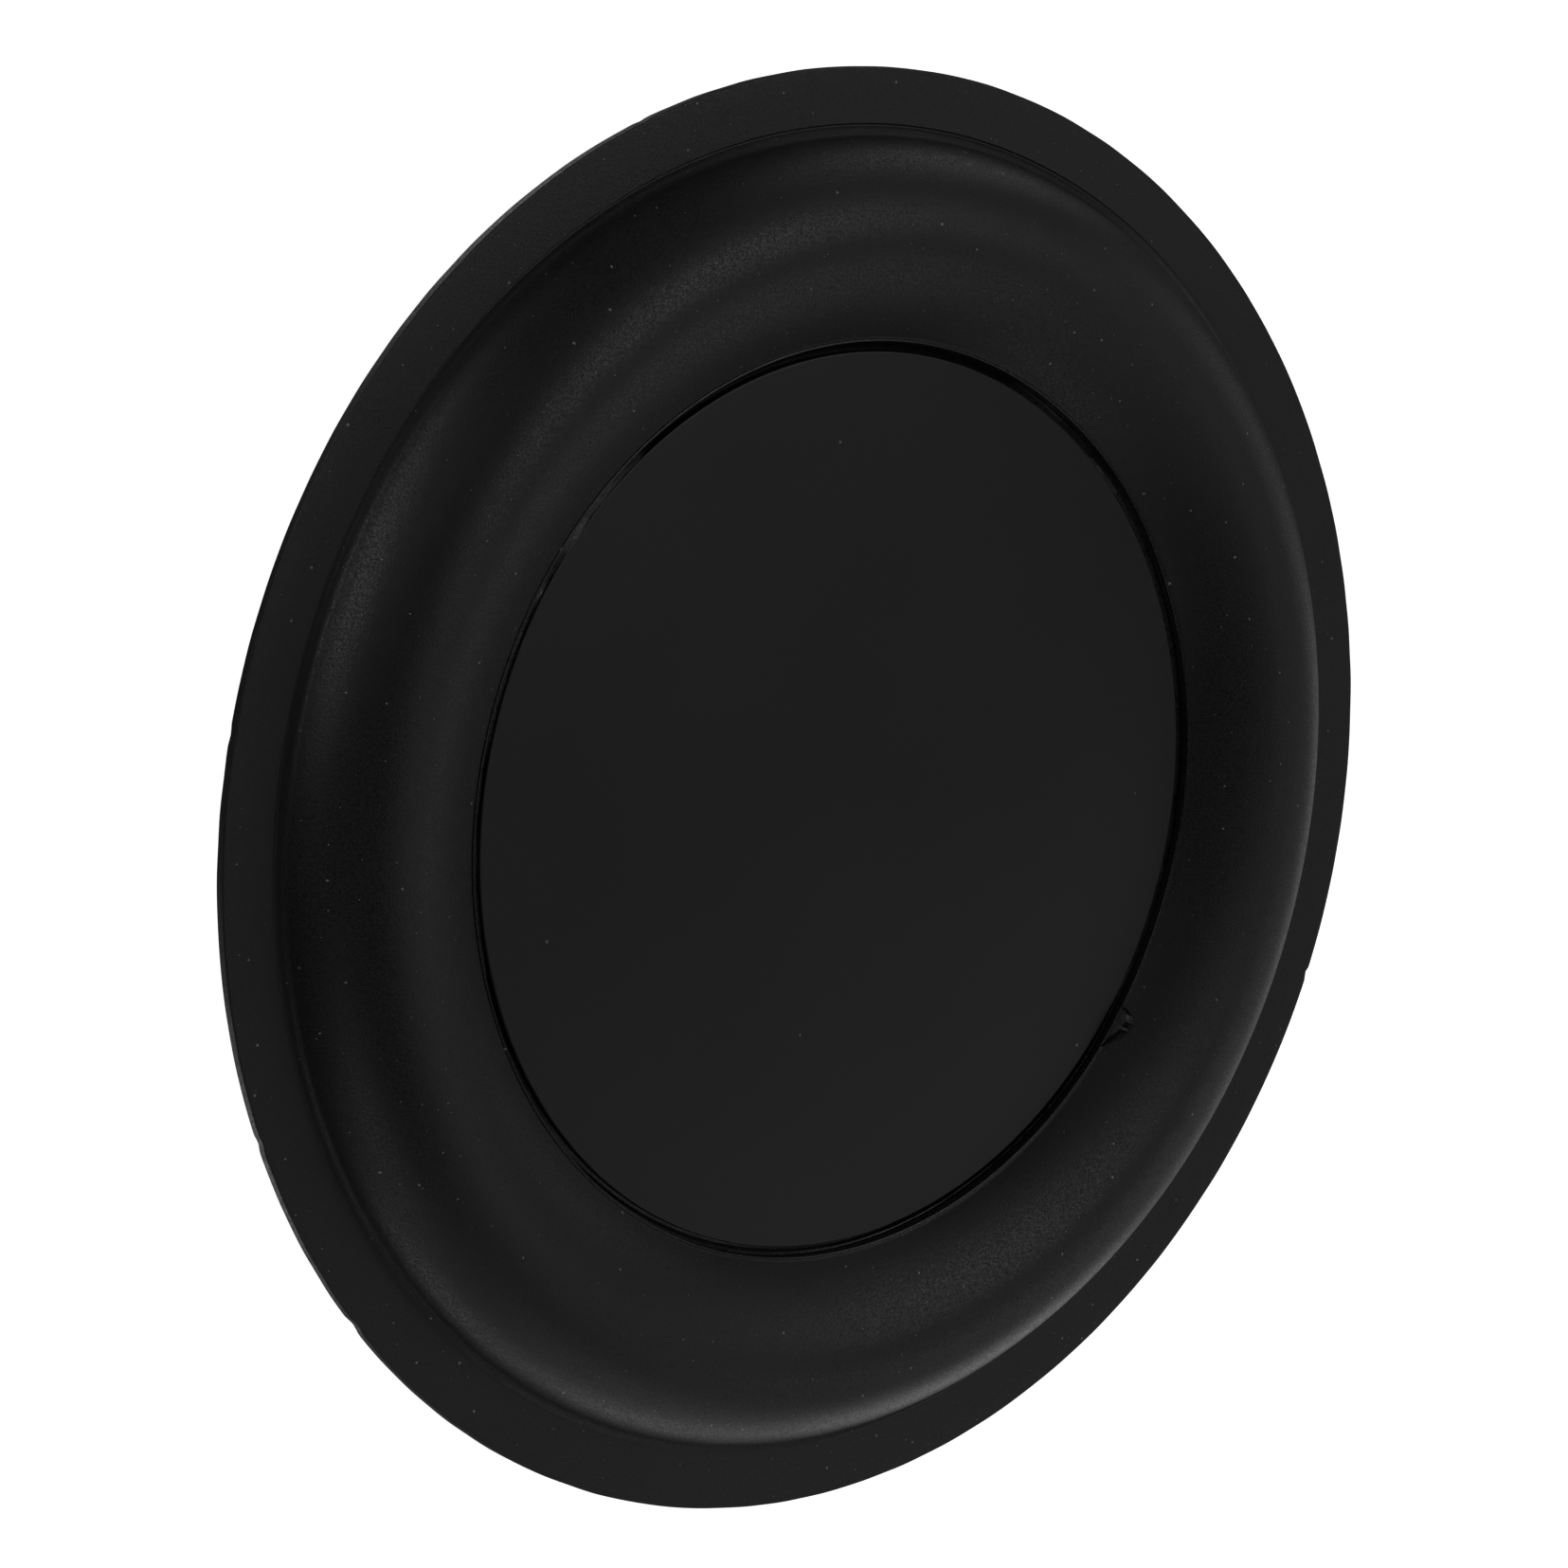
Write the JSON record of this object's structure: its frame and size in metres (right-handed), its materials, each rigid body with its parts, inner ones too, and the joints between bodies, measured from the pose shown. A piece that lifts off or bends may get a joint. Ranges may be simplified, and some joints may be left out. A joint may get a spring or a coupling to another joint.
{
  "type": "passive radiator",
  "caption": "Flat passive bass radiator: a stiff disc glued into a moulded rubber half-roll surround with a thin flat mounting flange.",
  "frame": {"origin": "centre of the flange's flat back face, the face that seats on a baffle", "axes": "+Z along the axis the diaphragm moves on, out of the front face; +X and +Y across the flange"},
  "size_m": [0.166, 0.166, 0.0092],
  "materials": {
    "surround_rubber": "matte moulded",
    "plate_coating": "smooth satin coating on steel",
    "black_adhesive": "cured glossy rubber glue",
    "weight_steel": "plain zinc-plated"
  },
  "bodies": {
    "surround": {"rubber_surround": "surround_rubber"},
    "piston": {"front_plate": "plate_coating", "landing_adhesive": "black_adhesive", "weight_adhesive": "black_adhesive", "rear_weight_disc": "weight_steel"}
  },
  "joints": [
    {"name": "piston_slide", "type": "slide", "parent": "surround", "child": "piston", "axis": [0, 0, 1], "range_m": [-0.006, 0.006], "stiffness_N_per_m": 1600, "deforming": ["rubber_surround"]}
  ]
}
